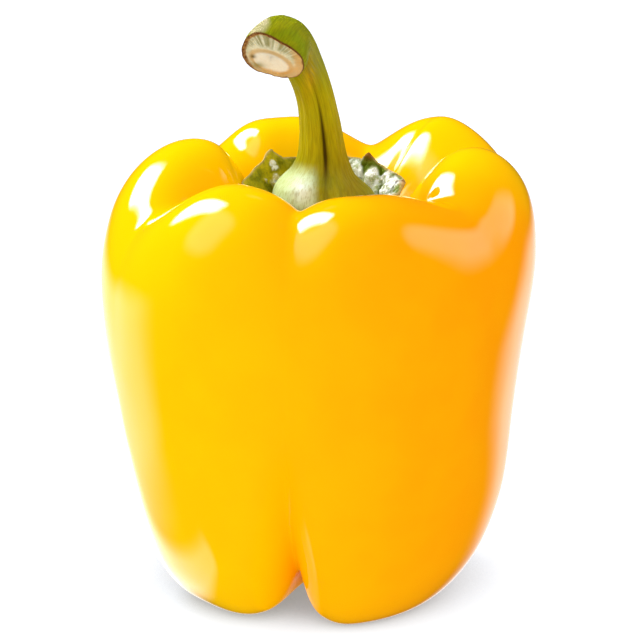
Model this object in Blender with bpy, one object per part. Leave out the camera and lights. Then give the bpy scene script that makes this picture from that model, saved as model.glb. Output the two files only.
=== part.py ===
"""A yellow bell pepper standing on its lobes: the fruit, the calyx on it and the hooked stem."""

import bpy
import numpy as np

TURN = 2 * np.pi

# How finely each skin is divided, round and along
FRUIT_AROUND, FRUIT_ROWS = 90, 36
STEM_AROUND, STEM_ROWS = 28, 40
CALYX_AROUND, CALYX_ROWS = 72, 7

# Fruit: the rings of its skin, from the middle of the hollow on top to the middle of the underside.
# Each ring: radius, height, how a crease moves it outwards and upwards, and its station.
RIM, CREST, SHOULDER, SIDE, LOW, FOOT = STATIONS = (0, 1, 2, 3, 3.5, 4)
RINGS = [
    (0.0000, 0.0760, 0.0, 0.0, 0.0),
    (0.0090, 0.0760, 0.0, 0.0, 0.0),
    (0.0140, 0.0763, 0.0, -0.2, 0.0),
    (0.0180, 0.0822, 0.0, -1.0, 0.5),
    (0.0240, 0.0895, -0.1, -1.0, 1.0),
    (0.0330, 0.0900, -0.4, -0.9, 1.3),
    (0.0405, 0.0820, -0.9, -0.4, 1.9),
    (0.0440, 0.0690, -1.0, 0.0, 2.5),
    (0.0427, 0.0540, -1.0, 0.0, 2.9),
    (0.0405, 0.0390, -1.0, 0.0, 3.2),
    (0.0373, 0.0240, -1.0, 0.0, 3.5),
    (0.0330, 0.0100, -1.0, 0.3, 3.8),
    (0.0255, 0.0000, -0.5, 0.8, 4.0),
    (0.0160, -0.0010, 0.0, 1.0, 4.0),
    (0.0085, 0.0022, 0.0, 0.3, 4.0),
    (0.0040, 0.0030, 0.0, 0.0, 4.0),
    (0.0000, 0.0030, 0.0, 0.0, 4.0),
]

# Lobes: azimuth in degrees, outward shift at the six stations, lift of the crest and of the foot
LOBES = {
    "left": (158, (-0.0012, -0.0042, 0.0004, 0.0, 0.0004, 0.0026), 0.0036, -0.0008),
    "front left": (242, (0.0, 0.0, 0.0, 0.0004, 0.0012, 0.0012), -0.0010, 0.0006),
    "front right": (288, (0.0, 0.0, 0.0, 0.0, 0.0, -0.0006), -0.0036, -0.0002),
    "right": (348, (0.0, 0.0010, 0.0014, -0.0034, 0.0006, -0.0010), 0.0035, -0.0002),
    "back right": (33, (0.0, 0.0050, 0.0038, 0.0005, 0.0003, 0.0), 0.0056, -0.0005),
    "back left": (103, (0.0, 0.0, 0.0, 0.0, 0.0, 0.0), 0.0040, 0.0),
}
LOBE_FOCUS = 6.0

# Creases: azimuth at the top and at the underside, depth at the six stations, reach in degrees
# clockwise and counter-clockwise at the top, the same at the underside, roundness of the
# bottom, and how steeply its sides rise
CREASES = {
    "front": (263, 258, (0.002, 0.0034, 0.0020, 0.0012, 0.0045, 0.0125), (33, 26), (50, 36), 1.0, 4.0),
    "left minor": (206, 200, (0.002, 0.0120, 0.0022, 0.0, 0.0, 0.0), (32, 32), (30, 30), 2.5, 2.0),
    "right minor": (322, 322, (0.002, 0.0080, 0.0010, 0.0, 0.0, 0.0), (28, 28), (28, 28), 3.5, 2.0),
    "right back": (13, 12, (0.002, 0.0075, 0.0018, 0.0015, 0.0042, 0.0070), (26, 26), (28, 28), 3.0, 2.0),
    "back": (64, 85, (0.002, 0.0085, 0.0030, 0.0020, 0.0050, 0.0080), (30, 30), (30, 30), 3.0, 2.0),
    "left back": (130, 178, (0.002, 0.0100, 0.0030, 0.0020, 0.0045, 0.0070), (28, 28), (28, 28), 3.0, 2.0),
}

# Stem: points of its centre line with the radius there, from the hub up and over to the cut end
STEM = [
    (0.0004, 0.0, 0.0778, 0.0075),
    (0.0004, 0.0, 0.0795, 0.0098),
    (0.0002, 0.0, 0.0822, 0.0103),
    (0.0003, 0.0, 0.0845, 0.0089),
    (0.0004, 0.0, 0.0866, 0.0062),
    (0.0006, 0.0, 0.0895, 0.0050),
    (0.0003, 0.0, 0.0935, 0.0045),
    (-0.0002, 0.0, 0.0980, 0.0040),
    (-0.0011, -0.0001, 0.1030, 0.0037),
    (-0.0035, -0.0011, 0.1087, 0.0040),
    (-0.0055, -0.0049, 0.1130, 0.0043),
    (-0.0070, -0.0089, 0.1137, 0.0050),
    (-0.0083, -0.0119, 0.1119, 0.0056),
    (-0.0092, -0.0136, 0.1108, 0.0052),
]
STEM_SIDE = (0.93, -0.36, 0.0)
CUT_NORMAL = (-0.28, -0.86, -0.42)
CUT_FROM = 0.72
CUT_OVAL, CUT_OVAL_AT = 0.20, -27
CUT_CORNERS, CUT_CORNERS_AT = 0.06, -22
HUB_CORNERS, HUB_CORNERS_AT = 0.05, 20
# Grooves down the stem: azimuth in degrees, depth as a share of the radius, sharpness
GROOVES = [(278, 0.20, 16.0), (345, 0.12, 10.0), (60, 0.13, 10.0), (130, 0.13, 10.0), (214, 0.12, 12.0)]
GROOVE_ALONG = (0.0, 0.2, 0.4, 0.65, 0.8, 1.0)
GROOVE_DEPTH = (0.3, 0.6, 1.0, 0.8, 0.3, 0.15)
# The cut end: share of the rim's radius, and how far it stands out of the cut
CUT_RELIEF = [(0.86, -0.0003), (0.62, -0.0001), (0.50, 0.0001), (0.25, 0.0001)]

# Calyx: a thin leafy saucer under the hub, whose torn rim stands up round it
CALYX_THICKNESS = 0.0009
CALYX_FLOOR = 0.0770
CALYX_DISC = 0.0095
CALYX_CURVE = 1.15
CALYX_CRUMPLE = 0.0004
# The rim of the calyx: azimuth in degrees, radius, height
CALYX_RIM = [
    (3, 0.0174, 0.0842), (14, 0.0159, 0.0850), (25, 0.0146, 0.0862), (33, 0.0140, 0.0870),
    (41, 0.0138, 0.0889), (49, 0.0132, 0.0873), (61, 0.0132, 0.0874), (78, 0.0134, 0.0882),
    (95, 0.0130, 0.0864), (113, 0.0130, 0.0875), (128, 0.0132, 0.0880), (138, 0.0135, 0.0899),
    (150, 0.0137, 0.0880), (170, 0.0145, 0.0860), (185, 0.0148, 0.0840), (203, 0.0136, 0.0815),
    (222, 0.0150, 0.0826), (241, 0.0136, 0.0804), (262, 0.0130, 0.0795), (282, 0.0140, 0.0810),
    (300, 0.0154, 0.0824), (320, 0.0136, 0.0810), (338, 0.0148, 0.0823), (350, 0.0160, 0.0832),
]

SHARP_EDGE = np.radians(50)


def clear_scene():
    """Removes whatever the scene holds."""
    for old in list(bpy.data.objects):
        bpy.data.objects.remove(old, do_unlink=True)


def finish(name, colour, roughness):
    """A plain material of one colour."""
    material = bpy.data.materials.new(name)
    material.use_nodes = True
    shader = material.node_tree.nodes["Principled BSDF"]
    shader.inputs["Base Color"].default_value = (*colour, 1.0)
    shader.inputs["Roughness"].default_value = roughness
    shader.inputs["Metallic"].default_value = 0.0
    return material


def closed_skin(name, rows, material, fold):
    """An object from rows of points: row 0 and the last row are single points.

    Each square between two rows is split along one diagonal, and past row `fold` along the
    other one, so that the two faces of a thin leaf are split alike.
    """
    around = rows.shape[1]
    points = np.concatenate([rows[0, :1], rows[1:-1].reshape(-1, 3), rows[-1, :1]])
    last = len(points) - 1
    here = np.arange(around)
    then = (here + 1) % around
    faces = [np.stack([np.zeros_like(here), 1 + here, 1 + then], 1)]
    for row in range(len(rows) - 3):
        a, b = 1 + row * around + here, 1 + row * around + then
        c, d = a + around, b + around
        if row + 1 < fold:
            faces += [np.stack([a, c, d], 1), np.stack([a, d, b], 1)]
        else:
            faces += [np.stack([a, c, b], 1), np.stack([b, c, d], 1)]
    start = last - around
    faces.append(np.stack([start + here, np.full_like(here, last), start + then], 1))
    mesh = bpy.data.meshes.new(name)
    mesh.from_pydata(points.tolist(), [], np.concatenate(faces).tolist())
    mesh.materials.append(material)
    mesh.shade_smooth()
    mesh.set_sharp_from_angle(angle=SHARP_EDGE)
    part = bpy.data.objects.new(name, mesh)
    bpy.context.scene.collection.objects.link(part)
    return part


def spline_weights(controls, samples):
    """Uniform cubic B-spline: the weight of each control at each sample.

    The first and last columns belong to one extra control beyond each end.
    """
    place = np.linspace(0, controls - 1, samples)
    first = np.minimum(place.astype(int), controls - 2)
    u = place - first
    blend = ((1 - u) ** 3, 3 * u**3 - 6 * u**2 + 4, -3 * u**3 + 3 * u**2 + 3 * u + 1, u**3)
    weights = np.zeros((samples, controls + 2))
    for offset, share in enumerate(blend):
        weights[np.arange(samples), first + offset] = share / 6
    return weights


def crease_fall(theta, azimuth, reach, soft, steep):
    """How strongly a crease pulls at each azimuth: 1 on its line, then (1 - distance/reach)^steep."""
    away = (theta - np.radians(azimuth) + np.pi) % TURN - np.pi
    round_line = np.radians(soft)
    distance = np.sqrt(away**2 + round_line**2) - round_line
    clockwise, counter = np.radians(reach)
    reach_here = np.where(away < 0, clockwise, counter)
    return np.clip(1 - distance / reach_here, 0, None) ** steep


def fruit_rows():
    """The skin as a B-spline over rings, each moved in or out by the lobes and the creases."""
    theta = np.radians(2) + np.linspace(0, TURN, FRUIT_AROUND, endpoint=False)
    radius, height, outwards, upwards, station = np.array(RINGS).T
    azimuths = np.radians([lobe[0] for lobe in LOBES.values()])
    weight = np.exp(LOBE_FOCUS * (np.cos(theta - azimuths[:, None]) - 1))
    weight /= weight.sum(axis=0)
    shift = np.array([np.interp(station, STATIONS, lobe[1]) for lobe in LOBES.values()]).T
    crest = np.array([lobe[2] for lobe in LOBES.values()]) @ weight
    foot = np.array([lobe[3] for lobe in LOBES.values()]) @ weight
    at_crest = np.interp(station, [RIM, CREST, 1.8, SIDE], [0, 1, 0.7, 0])
    at_foot = np.interp(station, [SIDE, FOOT], [0, 1])
    at_foot[-3:] = (2 / 3, 1 / 3, 0)
    r = radius[:, None] + shift @ weight
    z = height[:, None] + np.outer(at_crest, crest) + np.outer(at_foot, foot)
    r[0] = r[-1] = 0
    for top_at, low_at, depths, top_reach, low_reach, soft, steep in CREASES.values():
        depth = np.interp(station, STATIONS, depths)
        for ring, down in enumerate(np.linspace(0, 1, len(RINGS))):
            azimuth = top_at + (low_at - top_at) * down
            reach = np.add(top_reach, np.subtract(low_reach, top_reach) * down)
            pull = depth[ring] * crease_fall(theta, azimuth, reach, soft, steep)
            r[ring] += outwards[ring] * pull
            z[ring] += upwards[ring] * pull
    weights = spline_weights(len(RINGS), FRUIT_ROWS)
    r = weights @ np.vstack([-r[1], r, -r[-2]])
    z = weights @ np.vstack([z[1], z, z[-2]])
    z = np.maximum(z, 0)
    return np.stack([r * np.cos(theta), r * np.sin(theta), z], axis=-1)


def stem_section(along, phi, twist):
    """The stem's outline as a share of its radius: grooves, a cornered hub and an oval cut end."""
    share = np.ones((len(along), len(phi)))
    depth = np.interp(along, GROOVE_ALONG, GROOVE_DEPTH)[:, None]
    for azimuth, groove, sharp in GROOVES:
        share -= groove * depth * np.exp(sharp * (np.cos(phi - np.radians(azimuth) + twist) - 1))
    hub = np.interp(along, [0.2, 0.35], [1, 0])[:, None]
    share += hub * HUB_CORNERS * np.cos(5 * (phi + twist) - np.radians(HUB_CORNERS_AT))
    end = np.interp(along, [CUT_FROM, 1], [0, 1])[:, None]
    share += end * CUT_OVAL * np.cos(2 * (phi - np.radians(CUT_OVAL_AT)))
    share += end * CUT_CORNERS * np.cos(3 * (phi - np.radians(CUT_CORNERS_AT)))
    return share


def unit(vectors):
    return vectors / np.linalg.norm(vectors, axis=-1, keepdims=True)


def stem_rows():
    """A tube along the centre line, whose rings lean into the plane of the cut towards its end.

    The rows are given from the cut end down to the underside of the hub.
    """
    controls = np.array(STEM)
    ends = [2 * controls[0] - controls[1], 2 * controls[-1] - controls[-2]]
    line = spline_weights(len(STEM), STEM_ROWS) @ np.vstack([ends[0], controls, ends[1]])
    centre, radius = line[:, :3], line[:, 3]
    forward = unit(np.gradient(centre, axis=0))
    side = unit(np.array(STEM_SIDE))
    across = unit(side - (forward @ side)[:, None] * forward)
    over = np.cross(forward, across)
    along = np.linspace(0, 1, STEM_ROWS)
    phi = np.linspace(0, TURN, STEM_AROUND, endpoint=False)
    twist = np.arctan2(side[1], side[0])
    reach = (radius[:, None] * stem_section(along, phi, twist))[..., None]
    offset = reach * (np.cos(phi)[:, None] * across[:, None] + np.sin(phi)[:, None] * over[:, None])
    cut = unit(np.array(CUT_NORMAL))
    tilt = np.clip((along - CUT_FROM) / (1 - CUT_FROM), 0, 1)[:, None]
    lean = -tilt * (offset @ cut) / (forward @ cut)[:, None]
    skin = centre[:, None] + offset + lean[..., None] * forward[:, None]
    under = centre[0] + np.array([0, 0.6])[:, None, None] * (skin[0] - centre[0])
    face = [centre[-1] + share * (skin[-1] - centre[-1]) + out * cut for share, out in CUT_RELIEF]
    middle = np.broadcast_to(centre[-1] + CUT_RELIEF[-1][1] * cut, skin[-1].shape)
    return np.concatenate([under, skin, face, middle[None]])[::-1]


def calyx_rows():
    """A disc under the hub, then a rim rising as a power of the way out; thickened along its normal."""
    theta = np.linspace(0, TURN, CALYX_AROUND, endpoint=False)
    azimuth, rim_radius, rim_height = np.array(CALYX_RIM).T
    rim_r = np.interp(theta, np.radians(azimuth), rim_radius, period=TURN)
    rim_z = np.interp(theta, np.radians(azimuth), rim_height, period=TURN)
    out = np.linspace(0, 1, CALYX_ROWS)[:, None]
    wave = np.sin(9 * theta + 5 * out) + 0.6 * np.sin(17 * theta - 9 * out + 1)
    r = CALYX_DISC + (rim_r - CALYX_DISC) * out + CALYX_CRUMPLE * out * wave
    z = CALYX_FLOOR + (rim_z - CALYX_FLOOR) * out**CALYX_CURVE
    inner = np.array([0.02, 0.5])[:, None] * CALYX_DISC
    r = np.vstack([np.broadcast_to(inner, (2, CALYX_AROUND)), r])
    z = np.vstack([np.full((2, CALYX_AROUND), CALYX_FLOOR), z])
    middle = np.stack([r * np.cos(theta), r * np.sin(theta), z], axis=-1)
    down = np.gradient(middle, axis=0)
    round_it = np.roll(middle, -1, axis=1) - np.roll(middle, 1, axis=1)
    normal = unit(np.cross(down, round_it))
    upper = middle + normal * CALYX_THICKNESS / 2
    lower = middle - normal * CALYX_THICKNESS / 2
    upper[0] = upper[0].mean(axis=0)
    lower[0] = lower[0].mean(axis=0)
    return np.concatenate([upper, lower[::-1]])


def build():
    clear_scene()
    closed_skin("fruit", fruit_rows(), finish("yellow skin", (0.95, 0.52, 0.01), 0.12), FRUIT_ROWS)
    calyx = calyx_rows()
    closed_skin("calyx", calyx, finish("calyx green", (0.11, 0.20, 0.05), 0.6), len(calyx) // 2)
    stem = stem_rows()
    closed_skin("stem", stem, finish("stem green", (0.22, 0.27, 0.02), 0.4), len(stem))


build()
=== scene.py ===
# %% [markdown]
# # A yellow bell pepper
# A blocky sweet pepper stands on the ends of its lobes. It is three grown pieces: the glossy
# fruit, the crumpled green calyx in the hollow of its crown, and the ribbed stem that hooks
# over to a dry cut end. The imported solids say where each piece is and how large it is. Here
# each of them is replaced by a finer surface of the same form, with the finish of the real thing.

import bpy
import numpy as np
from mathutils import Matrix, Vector


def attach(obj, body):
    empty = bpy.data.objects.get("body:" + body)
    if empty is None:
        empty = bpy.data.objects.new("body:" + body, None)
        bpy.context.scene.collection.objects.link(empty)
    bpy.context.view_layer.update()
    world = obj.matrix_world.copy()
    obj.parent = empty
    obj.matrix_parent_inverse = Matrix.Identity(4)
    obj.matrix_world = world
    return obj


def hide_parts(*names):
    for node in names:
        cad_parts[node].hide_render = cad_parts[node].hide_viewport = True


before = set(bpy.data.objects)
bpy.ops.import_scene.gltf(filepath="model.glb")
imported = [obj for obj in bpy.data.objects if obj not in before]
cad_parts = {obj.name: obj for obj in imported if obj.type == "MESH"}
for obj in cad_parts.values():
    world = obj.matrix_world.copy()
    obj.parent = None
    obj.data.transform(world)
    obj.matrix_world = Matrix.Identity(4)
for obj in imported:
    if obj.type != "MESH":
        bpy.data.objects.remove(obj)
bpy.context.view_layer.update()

print("frame nodes:", sorted(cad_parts))

# %% [markdown]
# ## Camera
# The photograph was taken with a long lens, a little above the crown. A camera looks along its
# own -Z, so it is turned by the direction from the pepper back to it.

# %% Place the camera
CAMERA_RISE = np.radians(14)
CAMERA_DISTANCE = 0.430
CAMERA_TARGET = Vector((0.0, 0.0, 0.0565))
FOCAL_PIXELS, PICTURE_PIXELS, SENSOR = 2150, 640, 36.0

camera_data = bpy.data.cameras.new("camera")
camera_data.sensor_width = SENSOR
camera_data.lens = SENSOR * FOCAL_PIXELS / PICTURE_PIXELS
camera_data.clip_start, camera_data.clip_end = 0.01, 100
camera = bpy.data.objects.new("camera", camera_data)
bpy.context.scene.collection.objects.link(camera)
towards_camera = Vector((0, -np.cos(CAMERA_RISE), np.sin(CAMERA_RISE)))
camera.location = CAMERA_TARGET + CAMERA_DISTANCE * towards_camera
camera.rotation_mode = "QUATERNION"
camera.rotation_quaternion = (-towards_camera).to_track_quat("-Z", "Y")
bpy.context.scene.camera = camera
print("camera lens in mm:", round(camera_data.lens, 1))

# %% [markdown]
# ## From a grid of points to a closed surface
# Every piece is a grid: rows that follow each other along the piece, and points that run round
# it. Its first and last rows shrink to one point each, so the surface closes like a balloon
# with no seam and no hole. The mesh also carries values for its points, such as how deep a
# groove is, which the materials read as attributes.

# %% Grid, normals and mesh
TURN = 2 * np.pi


def unit(vectors):
    """Each vector divided by its length; a vector with no length stays zero."""
    return vectors / np.maximum(np.linalg.norm(vectors, axis=-1, keepdims=True), 1e-12)


def outward_normals(rows):
    """The cross product of the grid's two directions: along the rows, and round each row."""
    along = np.gradient(rows, axis=0)
    round_it = np.roll(rows, -1, axis=1) - np.roll(rows, 1, axis=1)
    return unit(np.cross(along, round_it))


def with_poles(grid):
    """The grid as one list of points: its first and last rows count as a single point each."""
    first, last = grid[:1].mean(axis=1), grid[-1:].mean(axis=1)
    return np.concatenate([first, grid[1:-1].reshape(-1, *grid.shape[2:]), last])


def closed_surface(name, rows, values):
    """A smooth mesh of four-sided faces over the rows, with a fan of triangles at each pole."""
    points = with_poles(rows)
    around, last = rows.shape[1], len(points) - 1
    here = np.arange(around)
    then = np.roll(here, -1)
    starts = 1 + around * np.arange(len(rows) - 3)[:, None]
    quads = np.stack([starts + here, starts + around + here, starts + around + then, starts + then], -1)
    top = np.stack([np.zeros_like(here), 1 + here, 1 + then], -1)
    end = np.stack([last - around + here, np.full_like(here, last), last - around + then], -1)
    mesh = bpy.data.meshes.new(name)
    mesh.from_pydata(points, [], [*top.tolist(), *quads.reshape(-1, 4).tolist(), *end.tolist()])
    for label, grid in values.items():
        kind, field = ("FLOAT_VECTOR", "vector") if grid.ndim == 3 else ("FLOAT", "value")
        attribute = mesh.attributes.new(label, kind, "POINT")
        attribute.data.foreach_set(field, with_poles(grid).astype(np.float32).ravel())
    mesh.shade_smooth()
    piece = bpy.data.objects.new(name, mesh)
    bpy.context.scene.collection.objects.link(piece)
    print(name, "has", sum(len(p.vertices) - 2 for p in mesh.polygons), "triangles")
    return piece


# %% Smooth curves through a few controls
def spline_weights(controls, samples):
    """Uniform cubic B-spline: the share of each control in each sample.

    The first and last columns belong to one extra control beyond each end.
    """
    place = np.linspace(0, controls - 1, samples)
    first = np.minimum(place.astype(int), controls - 2)
    u = place - first
    cubic = ((1 - u) ** 3, 3 * u**3 - 6 * u**2 + 4, -3 * u**3 + 3 * u**2 + 3 * u + 1, u**3)
    weights = np.zeros((samples, controls + 2))
    for offset, share in enumerate(cubic):
        weights[np.arange(samples), first + offset] = share / 6
    return weights


# %% Soft noise
def soft_noise(points, cell, seed):
    """Random numbers from -1 to 1 on a cubic lattice, blended smoothly between its corners."""
    size = 32
    lattice = np.random.default_rng(seed).uniform(-1, 1, (size, size, size))
    place = points / cell
    corner = np.floor(place).astype(int)
    u = place - corner
    u = u * u * (3 - 2 * u)
    total = np.zeros(points.shape[:-1])
    for step in np.ndindex(2, 2, 2):
        share = np.prod(np.where(step, u, 1 - u), axis=-1)
        at = (corner + step) % size
        total += share * lattice[at[..., 0], at[..., 1], at[..., 2]]
    return total


def layered_noise(points, layers):
    """The sum of soft noises, each with its height, the size of its cells and its seed."""
    return sum(height * soft_noise(points, cell, seed) for height, cell, seed in layers)


def ramp(value, low, high):
    """0 at low, 1 at high, a smooth step between and flat beyond; low may lie above high."""
    u = np.clip((value - low) / (high - low), 0, 1)
    return u * u * (3 - 2 * u)


def turned(theta, azimuth):
    """The angle from an azimuth in degrees, between -pi and pi."""
    return (theta - np.radians(azimuth) + np.pi) % TURN - np.pi


# %% [markdown]
# ## The fruit's form
# A pepper is a hollow berry whose walls swell between its seams. Six lobes ring the crown and
# run together into four at the foot. It could be sculpted, but a few rings with a swelling for
# each lobe and a valley for each seam say the same thing in numbers: each ring has a radius and
# a height, each lobe shifts them near its azimuth, and each crease pulls them in along a line.

# %% Rings, lobes and creases
FRUIT_AROUND, FRUIT_ROWS = 420, 210
# Stations down the fruit: the crown's rim, crest, shoulder, side, low side and foot
STATIONS = (0, 1, 2, 3, 3.5, 4)
RIM, CREST, SIDE, FOOT = 0, 1, 3, 4
# Each ring: radius, height, how a crease moves it outwards and upwards, and its station
RINGS = [
    (0.0000, 0.0760, 0.0, 0.0, 0.0),
    (0.0090, 0.0760, 0.0, 0.0, 0.0),
    (0.0140, 0.0763, 0.0, -0.2, 0.0),
    (0.0180, 0.0822, 0.0, -1.0, 0.5),
    (0.0240, 0.0895, -0.1, -1.0, 1.0),
    (0.0330, 0.0900, -0.4, -0.9, 1.3),
    (0.0405, 0.0820, -0.9, -0.4, 1.9),
    (0.0440, 0.0690, -1.0, 0.0, 2.5),
    (0.0427, 0.0540, -1.0, 0.0, 2.9),
    (0.0405, 0.0390, -1.0, 0.0, 3.2),
    (0.0373, 0.0240, -1.0, 0.0, 3.5),
    (0.0330, 0.0100, -1.0, 0.3, 3.8),
    (0.0255, 0.0000, -0.5, 0.8, 4.0),
    (0.0160, -0.0010, 0.0, 1.0, 4.0),
    (0.0085, 0.0022, 0.0, 0.3, 4.0),
    (0.0040, 0.0030, 0.0, 0.0, 4.0),
    (0.0000, 0.0030, 0.0, 0.0, 4.0),
]
# Lobes: azimuth in degrees, outward shift at the six stations, lift of the crest and of the foot
LOBES = {
    "left": (158, (-0.0012, -0.0042, 0.0004, 0.0, 0.0004, 0.0026), 0.0036, -0.0008),
    "front left": (242, (0.0, 0.0, 0.0, 0.0004, 0.0012, 0.0012), -0.0010, 0.0006),
    "front right": (288, (0.0, 0.0, 0.0, 0.0, 0.0, -0.0006), -0.0036, -0.0002),
    "right": (348, (0.0, 0.0010, 0.0014, -0.0034, 0.0006, -0.0010), 0.0035, -0.0002),
    "back right": (33, (0.0, 0.0050, 0.0038, 0.0005, 0.0003, 0.0), 0.0056, -0.0005),
    "back left": (103, (0.0, 0.0, 0.0, 0.0, 0.0, 0.0), 0.0040, 0.0),
}
LOBE_FOCUS = 6.0
# Past the crest, the station where this share of its lift is left
FADE_AT, FADE_LEFT = 1.8, 0.7
# Creases: azimuth at the top and at the underside, depth at the six stations, reach in degrees
# clockwise and counter-clockwise at the top, the same at the underside, roundness of the
# bottom, and how steeply its sides rise
CREASES = {
    "front": (263, 258, (0.002, 0.0034, 0.0020, 0.0012, 0.0045, 0.0125), (33, 26), (50, 36), 1.0, 4.0),
    "left minor": (206, 200, (0.002, 0.0120, 0.0022, 0.0, 0.0, 0.0), (32, 32), (30, 30), 2.5, 2.0),
    "right minor": (322, 322, (0.002, 0.0080, 0.0010, 0.0, 0.0, 0.0), (28, 28), (28, 28), 3.5, 2.0),
    "right back": (13, 12, (0.002, 0.0075, 0.0018, 0.0015, 0.0042, 0.0070), (26, 26), (28, 28), 3.0, 2.0),
    "back": (64, 85, (0.002, 0.0085, 0.0030, 0.0020, 0.0050, 0.0080), (30, 30), (30, 30), 3.0, 2.0),
    "left back": (130, 178, (0.002, 0.0100, 0.0030, 0.0020, 0.0045, 0.0070), (28, 28), (28, 28), 3.0, 2.0),
}


def crease_fall(theta, azimuth, reach, soft, steep):
    """How strongly a crease pulls at each azimuth: 1 on its line, then (1 - distance/reach)^steep."""
    away = turned(theta, azimuth)
    round_line = np.radians(soft)
    distance = np.sqrt(away**2 + round_line**2) - round_line
    clockwise, counter = np.radians(reach)
    return np.clip(1 - distance / np.where(away < 0, clockwise, counter), 0, None) ** steep


def fruit_form(theta):
    """Radius and height of every ring at every azimuth, and how far the creases have pulled it."""
    radius, height, outwards, upwards, station = np.array(RINGS).T
    azimuths = np.radians([lobe[0] for lobe in LOBES.values()])
    weight = np.exp(LOBE_FOCUS * (np.cos(theta - azimuths[:, None]) - 1))
    weight /= weight.sum(axis=0)
    shift = np.array([np.interp(station, STATIONS, lobe[1]) for lobe in LOBES.values()]).T
    crest = np.array([lobe[2] for lobe in LOBES.values()]) @ weight
    foot = np.array([lobe[3] for lobe in LOBES.values()]) @ weight
    at_crest = np.interp(station, [RIM, CREST, FADE_AT, SIDE], [0, 1, FADE_LEFT, 0])
    at_foot = np.interp(station, [SIDE, FOOT], [0, 1])
    at_foot[-3:] = (2 / 3, 1 / 3, 0)
    r = radius[:, None] + shift @ weight
    z = height[:, None] + np.outer(at_crest, crest) + np.outer(at_foot, foot)
    r[0] = r[-1] = 0
    pulled = np.zeros_like(r)
    for top_at, low_at, depths, top_reach, low_reach, soft, steep in CREASES.values():
        depth = np.interp(station, STATIONS, depths)
        for ring, down in enumerate(np.linspace(0, 1, len(RINGS))):
            azimuth = top_at + (low_at - top_at) * down
            reach = np.add(top_reach, np.subtract(low_reach, top_reach) * down)
            pull = depth[ring] * crease_fall(theta, azimuth, reach, soft, steep)
            r[ring] += outwards[ring] * pull
            z[ring] += upwards[ring] * pull
            pulled[ring] += pull
    return r, z, pulled


print("lobes:", ", ".join(LOBES), "- creases:", ", ".join(CREASES))

# %% [markdown]
# ## The fruit's fine relief
# A ripe skin is taut but never a perfect curve. It undulates by about a tenth of a millimetre,
# which is what makes its reflections wander, and short creases run from the calyx up into the
# crown where the young fruit was folded. Both are added along the surface's own normals.

# %% Build the fruit
# Short creases: azimuth in degrees, first and last ring, half width in degrees, depth
SHORT_CREASES = [
    (44.5, 2.4, 4.7, 3.4, 0.00060),
    (51.0, 2.2, 3.6, 1.6, 0.00015),
    (27.0, 2.2, 3.3, 1.8, 0.00015),
    (235.0, 2.2, 3.6, 1.8, 0.00018),
    (292.0, 2.3, 3.8, 1.8, 0.00020),
    (344.0, 2.2, 3.9, 1.8, 0.00020),
]
# Fullness of single lobes, or a hollow where the height is negative: azimuth in degrees, ring,
# half width in degrees, reach in rings, height
FULLNESS = [
    (264, 5.7, 9.5, 1.2, -0.0016),
    (288, 5.7, 13.0, 1.2, 0.0010),
    (131, 4.5, 8.0, 1.4, -0.0014),
    (24, 4.4, 13.0, 1.0, -0.0007),
    (328, 4.2, 10.0, 0.6, 0.0005),
    (186, 3.6, 14.0, 0.8, 0.0009),
    (315, 6.5, 18.0, 1.1, -0.0009),
    (268, 10.4, 6.0, 2.0, 0.0008),
]
# Undulation: height of the swells, their size and the seed; they fade out below the calm height
SWELLS = [(0.00016, 0.0130, 3), (0.00004, 0.0062, 8)]
CALM_FOOT = 0.006
# How many rings a short crease takes to deepen, and to run out
CREASE_STARTS, CREASE_ENDS = 0.4, 0.9
# The pull that counts as a full crease, and the radii between which the blossom scar fades
FULL_CREASE = 0.012
SCAR_EDGE = (0.0012, 0.0030)


def fruit_rows():
    """The rings' B-spline, then fullness, swells and short creases along the normals."""
    theta = np.linspace(0, TURN, FRUIT_AROUND, endpoint=False)
    r, z, pulled = fruit_form(theta)
    weights = spline_weights(len(RINGS), FRUIT_ROWS)
    r = weights @ np.vstack([-r[1], r, -r[-2]])
    z = weights @ np.vstack([z[1], z, z[-2]])
    pulled = weights @ np.vstack([pulled[1], pulled, pulled[-2]])
    rows = np.stack([r * np.cos(theta), r * np.sin(theta), z], axis=-1)
    place = np.linspace(0, len(RINGS) - 1, FRUIT_ROWS)[:, None]
    relief = layered_noise(rows, SWELLS) * ramp(z, 0.0, CALM_FOOT)
    for azimuth, at, half, reach, height in FULLNESS:
        away = (turned(theta, azimuth) / np.radians(half)) ** 2 + ((place - at) / reach) ** 2
        relief = relief + height * np.exp(-away)
    for azimuth, first, last, half, depth in SHORT_CREASES:
        fades = ramp(place, first, first + CREASE_STARTS) * (1 - ramp(place, last - CREASE_ENDS, last))
        relief = relief - depth * fades * np.exp(-((turned(theta, azimuth) / np.radians(half)) ** 2))
    rows = rows + relief[..., None] * outward_normals(rows)
    rows[..., 2] = np.maximum(rows[..., 2], 0)
    scar = (1 - ramp(r, *SCAR_EDGE)) * (place > len(RINGS) / 2)
    return rows, {"crease": pulled / FULL_CREASE, "scar": scar}


fruit = closed_surface("fruit_skin", *fruit_rows())
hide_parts("fruit")
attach(fruit, "root")

# %% [markdown]
# ## The stem's form
# The stem is a ribbed stalk that flares into a five-cornered hub at its foot. It hooks over and
# ends where it was cut. A profile carried along a curved centre line gives it: grooves are taken
# out of the round section, and near the end the rings lean over into the plane of the cut.

# %% The stem's centre line and section
STEM_AROUND, STEM_ROWS, FACE_ROWS = 168, 260, 30
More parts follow.
